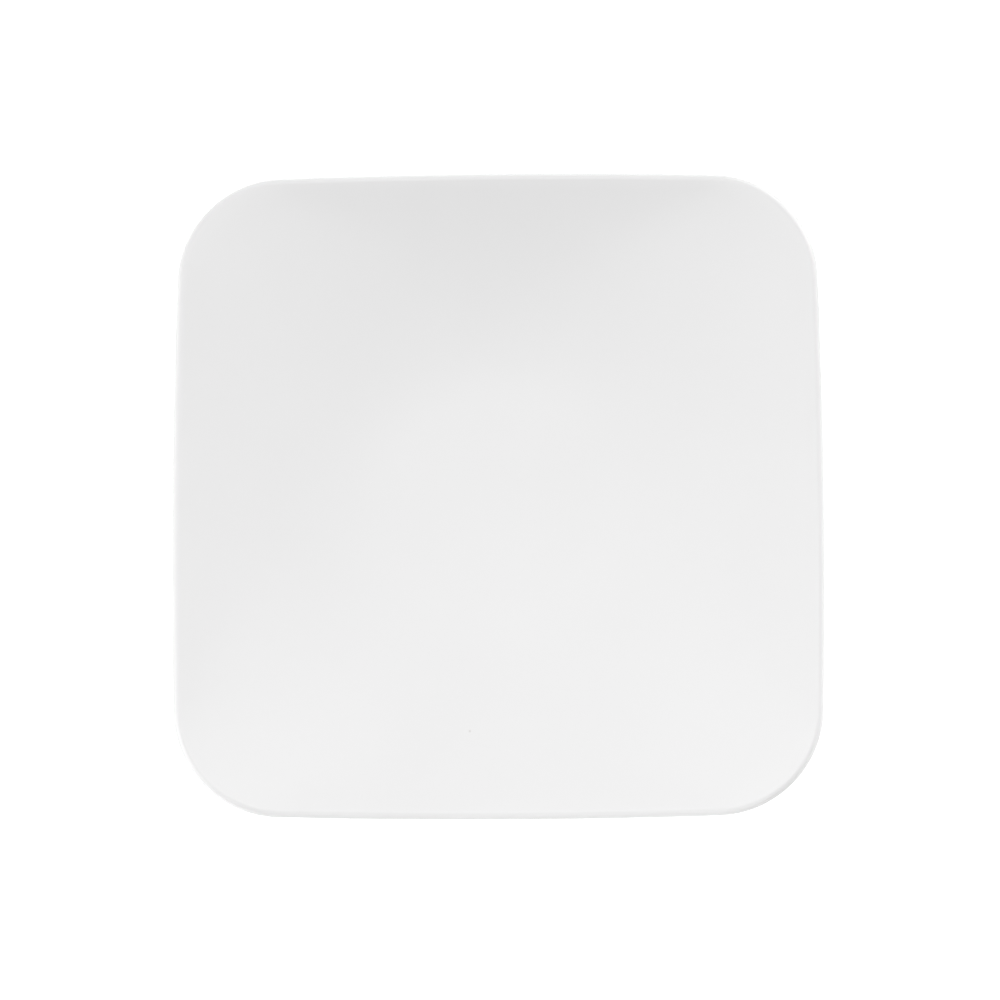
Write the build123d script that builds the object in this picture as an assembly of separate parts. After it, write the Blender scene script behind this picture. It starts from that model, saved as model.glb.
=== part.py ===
from build123d import *
import os
from math import atan, cos, degrees, radians, sin, sqrt, tan

# Square coupe dinner plate: a fired clay body under a thin coat of glaze.
# Millimetres and degrees. The origin is the middle of the foot's standing face, and +Z is up.

# Outline seen from above, over the glaze
plate_width = 267.0  # across the middles of two opposite sides
corner_radius = 44.0
side_turn = 1.6  # each side bows outwards: it turns this far from its middle to its corner arc

# Face
well_depth = 15.0  # from the top of the lip down to the flat middle
well_radius = 42.0  # the flat middle is round
rim_slope = 14.5  # of the face where it meets the lip, at the middle of a side
dish_roundness = 2.2  # the higher, the longer the dish stays round on its way out to the square lip

# Lip and wall
lip_thickness = 5.0
base_thickness = 5.0  # in the flat middle
shoulder_thickness = 5.6  # straight down through the wall, above the outside of the foot

# Foot ring, which is round
foot_width = 165.0  # across its outside, at the table
foot_thickness = 4.6  # at the table, before its edges are rounded
foot_height = 4.0  # from the table up to the recess inside the ring
foot_draft = 14.0  # the ring's flanks lean in towards the table
foot_root_radius = 2.2
foot_edge_radius = 0.7

# Glaze
glaze_thickness = 0.3
bare_height = 1.4  # the foot is wiped bare of glaze up to this height

# Rings that guide the smooth patches of the face and the back, and points on each arc of a ring
face_rings = 11
back_rings = 4
ring_points = 3
round_side_turn = 40.0  # each side of a round ring turns this far from its middle
corner_reach = 0.86  # a patch is held level from here, as a share of its half width, out to its corner

# Straight bands that make up the lip's half round
lip_band_count = 8
clay_lip_band_count = 3

rim_half = plate_width / 2
foot_half = foot_width / 2
inner_half = foot_half - foot_thickness
well_floor = foot_height + base_thickness
lip_radius = lip_thickness / 2
lip_centre = (rim_half - lip_radius, well_floor + well_depth - lip_radius)


def slope(angle):
    """Rise over run of an angle."""
    return tan(radians(angle))


def steps(first, last, count):
    """Even steps from first to last."""
    return [first + (last - first) * index / count for index in range(count + 1)]


def arc(centre, radius, first, last, count):
    """Arc in the plate's section, which is drawn through the middle of a side as (half width, height)."""
    angles = [radians(angle) for angle in steps(first, last, count)]
    return [(centre[0] + radius * cos(angle), centre[1] + radius * sin(angle)) for angle in angles]


def lip_arc(radius, count):
    """Half round of the lip, from the face to the back."""
    return arc(lip_centre, radius, 90, -90, count)


# The face's section is a parabola that leaves the flat middle level and meets the lip at the rim's slope
face_end, back_end = lip_arc(lip_radius, 1)
face_rise = face_end[1] - well_floor
face_run = face_end[0] - well_radius
level_run = face_run - face_rise / slope(rim_slope)
bend_run = face_run - 2 * level_run


def face_above(half_width):
    """Height and slope of the face over a point of the section."""
    out = max(0, half_width - well_radius)
    share = out / (level_run + sqrt(level_run**2 + bend_run * out))
    angle = atan(face_rise * share / (level_run + bend_run * share))
    return well_floor + face_rise * share**2, degrees(angle)


def square_ring(half_width, radius, turn, height):
    """Level ring of four bowed sides and four corner arcs, all tangent."""
    corner = (half_width - radius) / (1 + slope(turn / 2))
    side_radius = radius + corner / sin(radians(turn))
    side = CenterArc((half_width - side_radius, 0), side_radius, -turn, 2 * turn)
    bend = CenterArc((corner, corner), radius, turn, 90 - 2 * turn)
    arcs = [Rot(0, 0, 90 * quarter) * part for quarter in range(4) for part in (side, bend)]
    return Pos(0, 0, height) * Wire(arcs)


def lip_ring(point):
    """Ring round the lip, in or out from the plate's outline by the same amount all round."""
    half_width, height = point
    return square_ring(half_width, corner_radius - rim_half + half_width, side_turn, height)


def dish_ring(point, round_half, lip_half, roundness):
    """Ring on the way from a round middle out to the square lip."""
    half_width, height = point
    share = max(0, half_width - round_half) / (lip_half - round_half)
    lip_corner = corner_radius - rim_half + lip_half
    radius = half_width * (1 - (1 - lip_corner / lip_half) * share**roundness)
    turn = round_side_turn * (side_turn / round_side_turn) ** share
    return square_ring(half_width, radius, turn, height)


def foot_ring(point):
    """Ring round the foot."""
    half_width, height = point
    return Pos(0, 0, height) * Wire.make_circle(half_width)


def chamfer_rings(centre, radius, first, last):
    """Rings round the foot at both corners of a chamfer that touches an arc of the section."""
    quarter = (last - first) / 4
    corners = arc(centre, radius / cos(radians(quarter)), first + quarter, last - quarter, 1)
    return [foot_ring(point) for point in corners]


def patch(edge, guides, hole):
    """Smooth patch from an edge ring in to a hole, through points of its guide rings."""
    places = [(index + 0.5) / ring_points for index in range(ring_points)]
    points = [part @ place for guide in guides for part in guide.edges() for place in places]
    corner = edge.bounding_box().max
    beyond = [Vector(corner.X, corner.Y * share, corner.Z) for share in (-corner_reach, corner_reach, 1)]
    points += [point.rotate(Axis.Z, 90 * quarter) for point in beyond for quarter in range(4)]
    return Face.make_surface(edge, surface_points=points, interior_wires=[hole])


def bands(rings):
    """Straight bands of skin from each ring to the next."""
    return Shell.make_loft(rings, ruled=True).faces()


def lean(height):
    """How far a flank of the foot has moved out from where it meets the table."""
    return height * slope(foot_draft)


def across(distance):
    """Level distance that is this far square to a flank of the foot."""
    return distance / cos(radians(foot_draft))


def outer_line(inset):
    """Glaze line on the outer flank of the foot, this far under the glaze."""
    return foot_ring((foot_half + lean(bare_height) - across(inset), bare_height))


def inner_line(inset):
    """Glaze line on the inner flank of the foot, this far under the glaze."""
    return foot_ring((inner_half - lean(bare_height) + across(inset), bare_height))


# Centres of the rounded roots and edges of the foot, in the section
face_height, shoulder_slope = face_above(foot_half)
shoulder_height = face_height - shoulder_thickness
root_rise = foot_root_radius / cos(radians(shoulder_slope))
root_drop = root_rise - across(foot_root_radius) * slope(shoulder_slope)
outer_root_height = (shoulder_height - root_drop) / (1 - slope(foot_draft) * slope(shoulder_slope))
outer_root = (foot_half + lean(outer_root_height) + across(foot_root_radius), outer_root_height)
inner_root_height = foot_height - foot_root_radius
inner_root = (inner_half - lean(inner_root_height) - across(foot_root_radius), inner_root_height)
edge_inset = across(glaze_thickness + foot_edge_radius) - lean(foot_edge_radius)
outer_edge = (foot_half - edge_inset, foot_edge_radius)
inner_edge = (inner_half + edge_inset, foot_edge_radius)
outer_root_turn = (90 + shoulder_slope, 180 - foot_draft)
inner_root_turn = (foot_draft, 90)

# Finished face and lip
lip = [lip_ring(point) for point in lip_arc(lip_radius, lip_band_count)]
dish_sizes = [well_radius / 2] + steps(well_radius, face_end[0], face_rings)[:-1]
dish_points = [(size, face_above(size)[0]) for size in dish_sizes]
dish = [dish_ring(point, well_radius, face_end[0], dish_roundness) for point in dish_points]
well = dish[1]
face_skin = [Face(well), patch(lip[0], dish, well)]

# Finished back, which follows the face with a wall that thins from the foot to the lip, and finished foot
back_start = arc(outer_root, foot_root_radius, *outer_root_turn, 1)[0]
start_wall, end_wall = [face_above(half_width)[0] - height for half_width, height in (back_start, back_end)]
back_sizes = steps(back_start[0], back_end[0], back_rings)[:-1]
back_walls = steps(start_wall, end_wall, back_rings)
back_points = [(size, face_above(size)[0] - wall) for size, wall in zip(back_sizes, back_walls)]
back = [dish_ring(point, back_start[0], back_end[0], 1) for point in back_points]
back_ring = foot_ring(back_start)
back_skin = [patch(lip[-1], back, back_ring)]
outer_foot = [back_ring] + chamfer_rings(outer_root, foot_root_radius, *outer_root_turn) + [outer_line(0)]
recess = [inner_line(0)] + chamfer_rings(inner_root, foot_root_radius, *inner_root_turn)

# Clay under the glaze
face_drop = Pos(0, 0, -glaze_thickness)
back_lift = Pos(0, 0, glaze_thickness)
clay_lip_points = lip_arc(lip_radius - glaze_thickness, clay_lip_band_count)[1:-1]
clay_lip = [face_drop * lip[0]] + [lip_ring(point) for point in clay_lip_points] + [back_lift * lip[-1]]
clay_root_radius = foot_root_radius + glaze_thickness
clay_root = chamfer_rings(outer_root, clay_root_radius, *outer_root_turn)
clay_outer_foot = [back_lift * back_ring] + clay_root + [outer_line(glaze_thickness)]
clay_recess = [inner_line(glaze_thickness)] + chamfer_rings(inner_root, clay_root_radius, *inner_root_turn)
clay_face_skin = [face_drop * part for part in face_skin]
clay_back_skin = [back_lift * part for part in back_skin]
clay_outside = clay_face_skin + bands(clay_lip) + clay_back_skin + bands(clay_outer_foot)
clay_inside = bands(clay_recess) + [Face(clay_recess[-1])]

# Bare foot
outer_rim = [clay_outer_foot[-1]] + chamfer_rings(outer_edge, foot_edge_radius, -foot_draft, -90)
inner_rim = chamfer_rings(inner_edge, foot_edge_radius, 270, 180 + foot_draft) + [clay_recess[0]]
bare_skin = bands(outer_rim) + [Face(outer_rim[-1], [inner_rim[0]])] + bands(inner_rim)

# Each node is the solid that its closed skin holds
finish_outside = face_skin + bands(lip) + back_skin + bands(outer_foot)
finish_inside = bands(recess) + [Face(recess[-1])]
coat_edge = Face(outer_foot[-1], [clay_outer_foot[-1]])
base_edge = Face(clay_recess[0], [recess[0]])
nodes = {
    "ceramic_body": clay_outside + bare_skin + clay_inside,
    "glaze_coat": finish_outside + [coat_edge] + clay_outside,
    "base_glaze": finish_inside + [base_edge] + clay_inside,
}

os.makedirs("parts", exist_ok=True)
for name, skin in nodes.items():
    export_step(Solid(Shell(skin)), f"parts/{name}.step")
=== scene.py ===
"""Square coupe dinner plate: white glaze over a pale clay body, in soft studio light on a white floor."""

from math import atan, atan2, cos, degrees, pi, radians, sin, sqrt, tan

import bpy
import numpy as np
from mathutils import Matrix, Vector


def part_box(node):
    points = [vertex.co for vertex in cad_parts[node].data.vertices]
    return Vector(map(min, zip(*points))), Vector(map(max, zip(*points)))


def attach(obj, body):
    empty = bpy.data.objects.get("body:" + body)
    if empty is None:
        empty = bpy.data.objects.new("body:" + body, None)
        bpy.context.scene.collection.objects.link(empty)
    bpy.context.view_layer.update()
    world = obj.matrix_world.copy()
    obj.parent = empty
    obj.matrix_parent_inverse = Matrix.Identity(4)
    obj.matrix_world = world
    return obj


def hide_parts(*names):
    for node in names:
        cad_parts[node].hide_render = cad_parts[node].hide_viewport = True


MM = 0.001
WHITE = (1, 1, 1, 1)

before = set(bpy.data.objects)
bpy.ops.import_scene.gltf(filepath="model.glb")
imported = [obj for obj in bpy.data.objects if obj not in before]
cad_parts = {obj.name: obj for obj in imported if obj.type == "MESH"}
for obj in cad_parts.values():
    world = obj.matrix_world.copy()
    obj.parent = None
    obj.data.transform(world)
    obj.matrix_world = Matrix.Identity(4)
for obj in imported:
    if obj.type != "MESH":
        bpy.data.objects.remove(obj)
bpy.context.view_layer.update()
coat_low, coat_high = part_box("glaze_coat")
base_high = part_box("base_glaze")[1]

# Outline and lip, in millimetres and degrees
rim_half = coat_high.x / MM
rim_top = coat_high.z / MM
corner_radius = 44.0
side_turn = 1.6  # each side bows outwards: it turns this far from its middle to its corner arc
lip_radius = 2.5

# Dish
well_depth = 15.0  # from the top of the lip down to the flat middle
well_radius = 42.0
rim_slope = 14.5  # of the face where it meets the lip, at the middle of a side
dish_roundness = 2.2  # the higher, the longer the face stays round on its way out to the square lip
back_roundness = 1.0  # the same for the back
round_side_turn = 40.0  # each side of a round ring turns this far from its middle
fit_power = 3  # the higher, the nearer to the lip a skin starts to bend over to it

# Foot
shoulder_thickness = 5.6  # straight down through the wall, above the outside of the foot
foot_half = 82.5
inner_half = 77.9
foot_draft = 14.0  # the foot's flanks lean in towards the table
root_radius = 2.2
edge_radius = 0.7

# Glaze
glaze_thickness = 0.3
glaze_line = coat_low.z / MM
recess_height = base_high.z / MM - glaze_thickness
clay_gap = 0.02  # keeps the clay's skin clear of the glaze's inner skin
line_waver = 0.12
line_waves = ((3, 0.6, 0.7), (11, 0.4, 2.1))  # count round the foot, share of the waver, start in radians

# Levels and widths that follow from these
well_floor = rim_top - well_depth
lip_half = rim_half - lip_radius
lip_height = rim_top - lip_radius

# Steps of the meshes
side_steps = 24
corner_steps = 36
well_steps = 4
dish_steps = 32
lip_steps = 18
back_steps = 16
round_steps = 7
sharp_angle = 40.0  # an edge that bends by more than this isn't smoothed

# Look of the glaze
glaze_whites = ((0.87, 0.868, 0.869), (0.88, 0.878, 0.879))
glaze_roughness = (0.08, 0.12)
glaze_index = 1.5
cloud_scale = 18.0
gloss_scale = 60.0
ripple_scale = 70.0
ripple_strength = 0.02
ripple_height = 1.0

# Iron speck in the glaze
speck_place = Vector((-11.6, -97.3, 16.2))
speck_core = 0.2  # even out to here
speck_radius = 0.75  # faded out here
speck_strength = 0.2
speck_colour = (0.3, 0.27, 0.24)

# Look of the clay
clay_colours = ((0.74, 0.71, 0.66), (0.82, 0.80, 0.76))
clay_roughness = (0.68, 0.82)
grain_scale = 900.0
grain_detail = 4.0
grain_strength = 0.15
grain_height = 0.2

noise_span = (0.3, 0.7)  # most of a noise texture's values lie between these

# Floor, in metres
floor_size = 6.0
floor_colour = (0.85, 0.85, 0.85, 1)
floor_roughness = 0.9
floor_glow = 0.52

# Soft lights far away, each given as zenith and turn in degrees, narrowness and strength
overhead_light = (8.4, 15.6, 40.4, 1.009)
left_light = (65.5, 99.4, 15.1, 3.974)
far_right_light = (68.4, 310.1, 17.4, 4.989)

# Lamp on the near side, in metres and watts
lamp_place = Vector((0.121, -0.816, 0.5))
lamp_size = 0.8
lamp_power = 2.73

# Camera, in metres and degrees, with its lens and sensor in millimetres
camera_distance = 1.5
camera_lean_right = 1.8
camera_lean_near = 7.73
camera_roll = 0.145
aim_right = 0.0011  # from the middle of the lip, in the picture
aim_up = -0.00293
camera_lens = 131.72
camera_sensor = 36.0


def slope(angle):
    """Rise over run of an angle."""
    return tan(radians(angle))


def steps(first, last, count):
    """Even steps from first to last."""
    return [first + (last - first) * index / count for index in range(count + 1)]


def arc(centre, radius, first, last, count):
    """Arc in the section through the middle of a side, as points of (half width, height)."""
    angles = [radians(angle) for angle in steps(first, last, count)]
    return [(centre[0] + radius * cos(angle), centre[1] + radius * sin(angle)) for angle in angles]


# The face's section is a parabola that leaves the flat middle level and meets the lip at the rim's slope
face_rise = rim_top - well_floor
face_run = lip_half - well_radius
level_run = face_run - face_rise / slope(rim_slope)
bend_run = face_run - 2 * level_run


def face_above(half_width):
    """Height and slope of the face over a point of the section."""
    out = max(0.0, half_width - well_radius)
    share = out / (level_run + sqrt(level_run**2 + bend_run * out))
    angle = atan(face_rise * share / (level_run + bend_run * share))
    return well_floor + face_rise * share**2, degrees(angle)


def lean(height):
    """How far a flank of the foot has moved out from where it meets the table."""
    return height * slope(foot_draft)


def across(distance):
    """Level distance that is this far square to a flank of the foot."""
    return distance / cos(radians(foot_draft))


# Centres and turns of the rounded roots of the foot, in the section
face_height, shoulder_slope = face_above(foot_half)
shoulder_height = face_height - shoulder_thickness
root_drop = root_radius / cos(radians(shoulder_slope)) - across(root_radius) * slope(shoulder_slope)
outer_root_height = (shoulder_height - root_drop) / (1 - slope(foot_draft) * slope(shoulder_slope))
outer_root = (foot_half + lean(outer_root_height) + across(root_radius), outer_root_height)
outer_root_turn = (90 + shoulder_slope, 180 - foot_draft)
inner_root_height = recess_height - root_radius
inner_root = (inner_half - lean(inner_root_height) - across(root_radius), inner_root_height)
inner_root_turn = (foot_draft, 90)
edge_inset = across(glaze_thickness + edge_radius) - lean(edge_radius)


def ring_parts(half_width, radius, turn):
    """Centre of a corner arc, along X and Y, and radius of a bowed side."""
    corner = (half_width - radius) / (1 + slope(turn / 2))
    return corner, radius + corner / sin(radians(turn))


def column_angles():
    """Directions of the columns of vertices, spaced evenly along the outline's sides and corners."""
    corner, side_radius = ring_parts(rim_half, corner_radius, side_turn)
    angles = []
    for quarter in range(4):
        for turn in steps(-side_turn, side_turn, side_steps)[:-1]:
            x = rim_half - side_radius + side_radius * cos(radians(turn))
            angles.append(quarter * pi / 2 + atan2(side_radius * sin(radians(turn)), x))
        for turn in steps(side_turn, 90 - side_turn, corner_steps)[:-1]:
            y = corner + corner_radius * sin(radians(turn))
            angles.append(quarter * pi / 2 + atan2(y, corner + corner_radius * cos(radians(turn))))
    return np.array(angles)


columns = column_angles()
quarters = np.floor((columns + pi / 4) / (pi / 2))
off_axis = columns - quarters * pi / 2
folded, mirror = np.abs(off_axis), np.where(off_axis < 0, -1.0, 1.0)


def square_ring(half_width, radius, turn):
    """Level ring of four bowed sides and four corner arcs, and its outward normals, for each column."""
    corner, side_radius = ring_parts(half_width, radius, turn)
    seam = atan2(corner + radius * sin(radians(turn)), corner + radius * cos(radians(turn)))
    on_side = folded < seam
    centre_x = np.where(on_side, half_width - side_radius, corner)
    centre_y = np.where(on_side, 0.0, corner)
    bend = np.where(on_side, side_radius, radius)
    towards = centre_x * np.cos(folded) + centre_y * np.sin(folded)
    reach = towards + np.sqrt(towards**2 - centre_x**2 - centre_y**2 + bend**2)
    facing = np.arctan2(reach * np.sin(folded) - centre_y, reach * np.cos(folded) - centre_x)
    facing = quarters * pi / 2 + mirror * facing
    points = np.column_stack((reach * np.cos(columns), reach * np.sin(columns)))
    return points, np.column_stack((np.cos(facing), np.sin(facing)))


def dish_ring(half_width, round_half, roundness):
    """Level ring on the way from a round middle out to the square middle line of the lip."""
    share = max(0.0, half_width - round_half) / (lip_half - round_half)
    lip_corner = corner_radius - lip_radius
    radius = half_width * (1 - (1 - lip_corner / lip_half) * share**roundness)
    turn = round_side_turn * (side_turn / round_side_turn) ** share
    return square_ring(half_width, radius, turn)[0]


def raised(points, heights):
    """Level points lifted to one height, or each to its own."""
    return np.column_stack((points, np.broadcast_to(heights, len(points))))


def foot_ring(point):
    """Round ring through a point of the section."""
    half_width, height = point
    return raised(half_width * np.column_stack((np.cos(columns), np.sin(columns))), height)


lip_line, lip_normals = square_ring(lip_half, corner_radius - lip_radius, side_turn)


def lip_ring(radius, angles):
    """Ring round the lip's half round, at an angle of its section for each column."""
    outward = radius * np.cos(angles)[:, None] * lip_normals
    return raised(lip_line + outward, lip_height + radius * np.sin(angles))


def end_slopes(rings):
    """Angle at which each column of rings rises as it reaches the lip."""
    step = rings[-1] - rings[-2]
    return np.arctan2(step[:, 2], (step[:, :2] * lip_normals).sum(1))


def fitted(rings, end, shares):
    """Rings that are drawn on to an end ring, more so the nearer they are to it."""
    return [ring + (end - rings[-1]) * share**fit_power for ring, share in zip(rings, shares)]


def face_rings(inset):
    """Rings of the face, from the flat middle out to the lip, and the lip's angles where they end."""
    shares = steps(0, 1, dish_steps)
    sizes = [well_radius + 2 * level_run * share * (1 - share) + face_run * share**2 for share in shares]
    flat = [dish_ring(size, well_radius, dish_roundness) for size in sizes]
    rings = [raised(ring, well_floor - inset + face_rise * share**2) for ring, share in zip(flat, shares)]
    top = pi / 2 + end_slopes(rings)
    return fitted(rings, lip_ring(lip_radius - inset, top), shares), top


def back_rings(inset):
    """Rings of the back, from the foot out to the lip, under a wall that thins evenly on the way."""
    start = arc(outer_root, root_radius, *outer_root_turn, 1)[0]
    shares = steps(0, 1, back_steps)
    sizes = steps(start[0], lip_half, back_steps)
    walls = steps(face_above(start[0])[0] - start[1], 2 * lip_radius, back_steps)
    flat = [dish_ring(size, start[0], back_roundness) for size in sizes]
    heights = [face_above(size)[0] - wall + inset for size, wall in zip(sizes, walls)]
    rings = [raised(ring, height) for ring, height in zip(flat, heights)]
    bottom = end_slopes(rings) - pi / 2
    return fitted(rings, lip_ring(lip_radius - inset, bottom), shares), bottom


def wavered(points):
    """Glaze line that wavers up and down a little, as a wiped edge does."""
    points = points.copy()
    waves = [share * np.sin(count * columns + start) for count, share, start in line_waves]
    points[:, 2] += line_waver * sum(waves)
    return points


def outer_skin(inset):
    """Rings from the flat middle over the lip to the glaze line outside the foot."""
    well_shares = steps(0, 1, well_steps)[1:-1]
    well = [foot_ring((well_radius * share, well_floor - inset)) for share in well_shares]
    face, top = face_rings(inset)
    back, bottom = back_rings(inset)
    lip_shares = steps(0, 1, lip_steps)[1:-1]
    lip = [lip_ring(lip_radius - inset, top + (bottom - top) * share) for share in lip_shares]
    root = arc(outer_root, root_radius + inset, *outer_root_turn, round_steps)
    line = (foot_half + lean(glaze_line) - across(inset), glaze_line)
    foot = [foot_ring(point) for point in root] + [wavered(foot_ring(line))]
    return well + face + lip + back[:0:-1] + foot


def inner_skin(inset):
    """Rings from the glaze line inside the foot up to the middle of the recess."""
    root = arc(inner_root, root_radius + inset, *inner_root_turn, round_steps)
    line = (inner_half - lean(glaze_line) + across(inset), glaze_line)
    middle = [(root[-1][0] * share, recess_height + inset) for share in steps(1, 0, well_steps)[1:-1]]
    return [wavered(foot_ring(line))] + [foot_ring(point) for point in root + middle]


def bare_skin():
    """Rings round the bare foot, from outside it to inside it."""
    outer = arc((foot_half - edge_inset, edge_radius), edge_radius, -foot_draft, -90, round_steps)
    inner = arc((inner_half + edge_inset, edge_radius), edge_radius, 270, 180 + foot_draft, round_steps)
    return [foot_ring((half_width, max(height, 0.0))) for half_width, height in outer + inner]


def closed_mesh(name, rings):
    """Smooth mesh that is closed by a point in the middle at both ends."""
    count = len(columns)
    poles = [(0, 0, rings[0][0][2]), (0, 0, rings[-1][0][2])]
    points = np.vstack([poles[:1], *rings, poles[1:]]) * MM
    last = len(points) - 1
    faces = [(0, 1 + column, 1 + (column + 1) % count) for column in range(count)]
    for row in range(len(rings) - 1):
        for column in range(count):
            here, after = 1 + row * count + column, 1 + row * count + (column + 1) % count
            faces.append((here, here + count, after + count, after))
    start = last - count
    faces += [(last, start + (column + 1) % count, start + column) for column in range(count)]
    mesh = bpy.data.meshes.new(name)
    mesh.from_pydata([tuple(point) for point in points], [], faces)
    mesh.shade_smooth()
    mesh.set_sharp_from_angle(angle=radians(sharp_angle))
    piece = bpy.data.objects.new(name, mesh)
    bpy.context.scene.collection.objects.link(piece)
    return piece


def add_node(tree, kind, values=(), **settings):
    """Shader node with its settings, and values or links for its inputs."""
    node = tree.nodes.new(kind)
    for name, value in settings.items():
        setattr(node, name, value)
    for name, value in dict(values).items():
        if isinstance(value, bpy.types.NodeSocket):
            tree.links.new(value, node.inputs[name])
        else:
            node.inputs[name].default_value = value
    return node


def new_material(name):
    """Material, its node tree and its surface node."""
    material = bpy.data.materials.new(name)
    material.use_nodes = True
    tree = material.node_tree
    return material, tree, tree.nodes["Principled BSDF"]


def maths(tree, operation, *values):
    """Result of an operation on values or links."""
    return add_node(tree, "ShaderNodeMath", enumerate(values), operation=operation).outputs[0]


def noise(tree, place, scale, detail=2.0):
    """Noise texture that stays in place on the piece."""
    values = {"Vector": place, "Scale": scale, "Detail": detail}
    return add_node(tree, "ShaderNodeTexNoise", values).outputs["Fac"]


def mapped(tree, value, span, new_span, kind="LINEAR"):
    """Value moved from its span to a new one."""
    spans = dict(zip(("From Min", "From Max", "To Min", "To Max"), (*span, *new_span)))
    node = add_node(tree, "ShaderNodeMapRange", {"Value": value, **spans}, interpolation_type=kind)
    return node.outputs["Result"]


def mixed(tree, factor, first, second):
    """Colour between two colours, each of which is a value or a link."""
    node = add_node(tree, "ShaderNodeMix", {0: factor}, data_type="RGBA")
    for socket, colour in zip([item for item in node.inputs if item.type == "RGBA"], (first, second)):
        if isinstance(colour, bpy.types.NodeSocket):
            tree.links.new(colour, socket)
        else:
            socket.default_value = (*colour, 1)
    return next(item for item in node.outputs if item.type == "RGBA")


def add_bump(tree, surface, relief, strength, height):
    """Small relief on a surface."""
    bump = add_node(tree, "ShaderNodeBump", {"Height": relief, "Strength": strength, "Distance": height})
    tree.links.new(bump.outputs["Normal"], surface.inputs["Normal"])


def glaze_material():
    """White gloss glaze, with a faint cloudiness, a slight ripple and one iron speck on the face."""
    material, tree, surface = new_material("white_glaze")
    place = add_node(tree, "ShaderNodeTexCoord").outputs["Object"]
    cloud = mapped(tree, noise(tree, place, cloud_scale), noise_span, (0, 1))
    clouded = mixed(tree, cloud, *glaze_whites)
    ends = {0: place, 1: speck_place * MM}
    away = add_node(tree, "ShaderNodeVectorMath", ends, operation="DISTANCE").outputs["Value"]
    speck_span = (speck_core * MM, speck_radius * MM)
    speck = mapped(tree, away, speck_span, (speck_strength, 0), "SMOOTHSTEP")
    tree.links.new(mixed(tree, speck, clouded, speck_colour), surface.inputs["Base Color"])
    roughness = mapped(tree, noise(tree, place, gloss_scale), noise_span, glaze_roughness)
    tree.links.new(roughness, surface.inputs["Roughness"])
    add_bump(tree, surface, noise(tree, place, ripple_scale), ripple_strength, ripple_height * MM)
    surface.inputs["IOR"].default_value = glaze_index
    return material


def clay_material():
    """Bare fired clay: warm off-white, matt and finely grained."""
    material, tree, surface = new_material("bare_clay")
    place = add_node(tree, "ShaderNodeTexCoord").outputs["Object"]
    grain = noise(tree, place, grain_scale, grain_detail)
    shade = mapped(tree, grain, noise_span, (0, 1))
    tree.links.new(mixed(tree, shade, *clay_colours), surface.inputs["Base Color"])
    tree.links.new(mapped(tree, grain, noise_span, clay_roughness), surface.inputs["Roughness"])
    add_bump(tree, surface, grain, grain_strength, grain_height * MM)
    return material


def add_piece(name, node, rings, material):
    """Dressed piece that stands in for a node of the frame."""
    piece = closed_mesh(name, rings)
    piece.data.materials.append(material)
    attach(piece, "root")
    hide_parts(node)


glaze, clay = glaze_material(), clay_material()
clay_inset = glaze_thickness + clay_gap
coat_rings = outer_skin(0) + outer_skin(glaze_thickness)[::-1]
base_rings = inner_skin(glaze_thickness)[::-1] + inner_skin(0)
clay_rings = outer_skin(clay_inset) + bare_skin() + inner_skin(clay_inset)
add_piece("glaze_skin", "glaze_coat", coat_rings, glaze)
add_piece("base_skin", "base_glaze", base_rings, glaze)
add_piece("clay_body", "ceramic_body", clay_rings, clay)


def add_floor():
    """White floor, with a glow that is seen directly and in reflections but lights nothing."""
    bpy.ops.mesh.primitive_plane_add(size=floor_size, location=(0, 0, 0))
    floor = bpy.context.object
    floor.name = "floor"
    material, tree, surface = new_material("floor_white")
    surface.inputs["Base Color"].default_value = floor_colour
    surface.inputs["Roughness"].default_value = floor_roughness
    surface.inputs["Emission Color"].default_value = WHITE
    path = add_node(tree, "ShaderNodeLightPath")
    seen = path.outputs["Is Camera Ray"]
    for kind in ("Is Glossy Ray", "Is Transmission Ray"):
        seen = maths(tree, "MAXIMUM", seen, path.outputs[kind])
    tree.links.new(mapped(tree, seen, (0, 1), (0, floor_glow)), surface.inputs["Emission Strength"])
    floor.data.materials.append(material)


def direction(zenith, turn):
    """Direction of a light. Turn is anticlockwise from +Y, seen from above."""
    tilt, way = radians(zenith), radians(turn)
    return Vector((-sin(tilt) * sin(way), sin(tilt) * cos(way), cos(tilt)))


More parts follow.
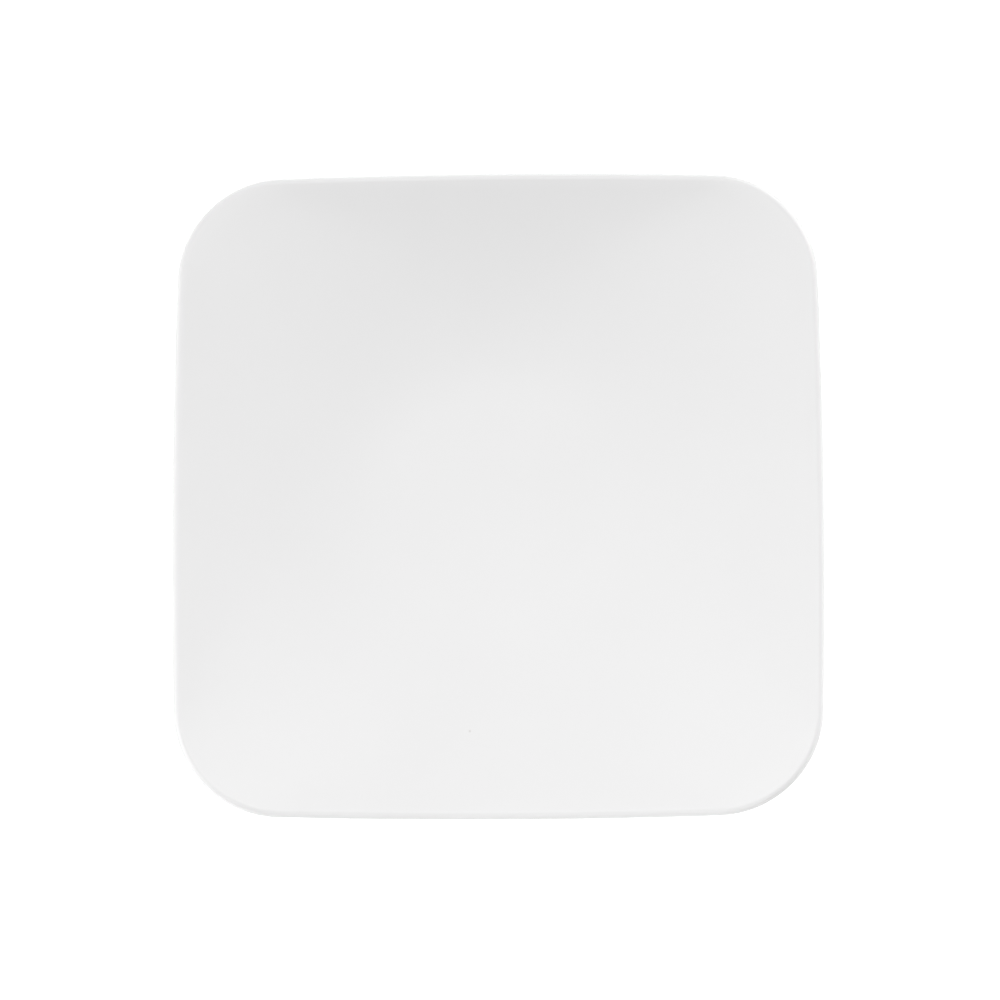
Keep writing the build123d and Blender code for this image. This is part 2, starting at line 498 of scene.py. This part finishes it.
def add_world():
    """Dark surroundings with soft round lights, which fade with the angle from their middles."""
    world = bpy.data.worlds.new("studio")
    world.use_nodes = True
    tree = world.node_tree
    way = add_node(tree, "ShaderNodeTexCoord").outputs["Generated"]
    total = 0.0
    for zenith, turn, narrowness, strength in (overhead_light, left_light, far_right_light):
        ways = {0: way, 1: direction(zenith, turn)}
        facing = add_node(tree, "ShaderNodeVectorMath", ways, operation="DOT_PRODUCT").outputs["Value"]
        soft = maths(tree, "POWER", mapped(tree, facing, (-1, 1), (0, 1)), narrowness)
        total = maths(tree, "MULTIPLY_ADD", soft, strength, total)
    background = tree.nodes["Background"]
    background.inputs["Color"].default_value = WHITE
    tree.links.new(total, background.inputs["Strength"])
    bpy.context.scene.world = world


def add_lamp():
    """Soft square lamp near the plate, which it points at."""
    data = bpy.data.lights.new("lamp", "AREA")
    data.size, data.energy = lamp_size, lamp_power
    lamp = bpy.data.objects.new("lamp", data)
    turn = lamp_place.to_track_quat("Z", "Y").to_matrix()
    lamp.matrix_world = Matrix.Translation(lamp_place) @ turn.to_4x4()
    lamp.visible_camera = False
    bpy.context.scene.collection.objects.link(lamp)


def add_camera():
    """Camera almost straight above the plate, a little towards its near side and its right."""
    back = Vector((sin(radians(camera_lean_right)), -sin(radians(camera_lean_near)), 1)).normalized()
    right = Vector((0, 1, 0)).cross(back).normalized()
    up = back.cross(right)
    aim = Vector((0, 0, lip_height * MM)) + aim_right * right + aim_up * up
    roll = radians(camera_roll)
    rolled_right = right * cos(roll) - up * sin(roll)
    rolled_up = up * cos(roll) + right * sin(roll)
    data = bpy.data.cameras.new("camera")
    data.lens, data.sensor_width = camera_lens, camera_sensor
    camera = bpy.data.objects.new("camera", data)
    turn = Matrix((rolled_right, rolled_up, back)).transposed()
    camera.matrix_world = Matrix.Translation(aim + camera_distance * back) @ turn.to_4x4()
    bpy.context.scene.collection.objects.link(camera)
    bpy.context.scene.camera = camera


add_floor()
add_world()
add_lamp()
add_camera()
bpy.context.scene.view_settings.view_transform = "Standard"
